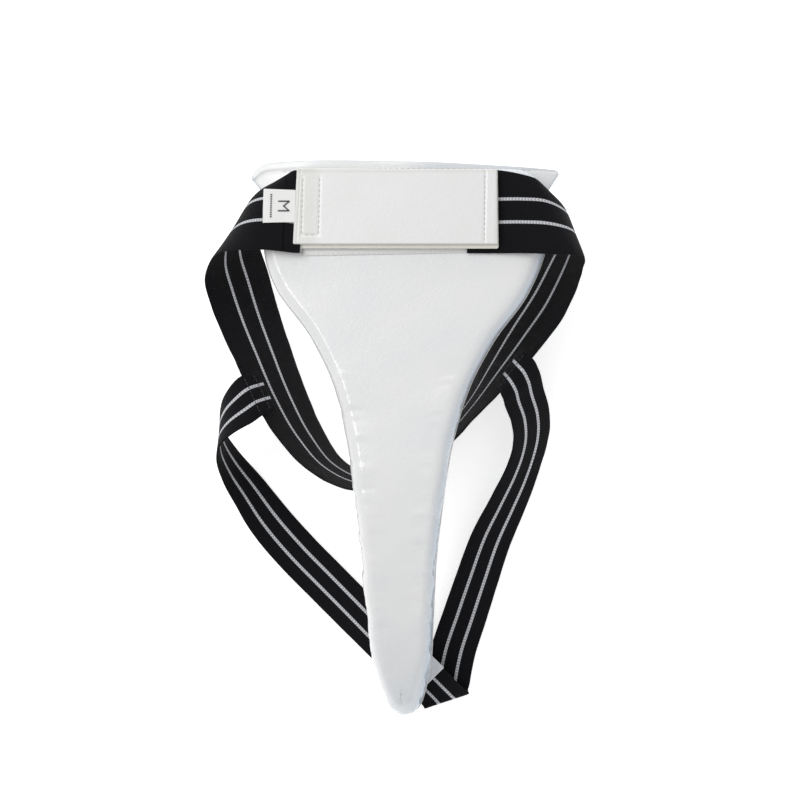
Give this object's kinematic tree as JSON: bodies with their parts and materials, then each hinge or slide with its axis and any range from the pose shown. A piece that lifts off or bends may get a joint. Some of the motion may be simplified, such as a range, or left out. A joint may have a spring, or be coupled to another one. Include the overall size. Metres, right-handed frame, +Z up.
{
  "type": "groin protector",
  "caption": "Padded front groin guard, wide at the waist and narrowing to a bent tip, held by an elastic waistband with a peel-off closure tab and by an elastic leg strap.",
  "frame": {"origin": "on the surface the protector lies on, under the middle of the whole layout", "axes": "+X across the guard, +Y along it towards the waist, +Z up out of its front"},
  "size_m": [0.2373, 0.3408, 0.0773],
  "materials": {
    "white_vinyl": "glossy white synthetic leather",
    "grey_lining": "matt knitted lining",
    "foam": "closed-cell foam",
    "soft_foam": "open-cell foam",
    "cream_backing": "coated cream backing cloth",
    "hook_tape": "moulded hook tape",
    "loop_tape": "brushed loop tape",
    "striped_elastic": "black woven elastic with two light braided stripes",
    "woven_tape": "white twill tape",
    "label_satin": "satin label cloth",
    "white_thread": "white sewing thread",
    "black_thread": "black sewing thread"
  },
  "bodies": {
    "guard": {"front_cover": "white_vinyl", "top_hem": "white_vinyl", "base_panel": "white_vinyl", "back_liner": "grey_lining", "foam_core": "foam", "comfort_foam": "soft_foam", "loop_tape": "loop_tape", "waistband": "striped_elastic", "leg_strap": "striped_elastic", "anchor_patch": "woven_tape", "top_hem_stitching": "white_thread", "back_seam_stitching": "white_thread", "base_panel_stitching": "white_thread", "waistband_end_stitching": "black_thread", "anchor_stitching": "black_thread", "left_junction_stitching": "black_thread", "right_junction_stitching": "black_thread"},
    "closure_tab": {"tab_cover": "white_vinyl", "tab_backing": "cream_backing", "hook_tape": "hook_tape", "waistband_tab_end": "striped_elastic", "tab_box_stitching": "white_thread", "tab_edge_stitching": "white_thread"},
    "size_label": {"size_label": "label_satin"}
  },
  "joints": [
    {"name": "closure_tab_peel", "type": "hinge", "parent": "guard", "child": "closure_tab", "pos_m": [-0.0568, 0.1359, 0.07539], "axis": [0, -1, 0], "range_deg": [0, 100]},
    {"name": "size_label_flip", "type": "hinge", "parent": "guard", "child": "size_label", "pos_m": [-0.0593, 0.1384, 0.07664], "axis": [0, 1, 0], "range_deg": [0, 60]}
  ]
}
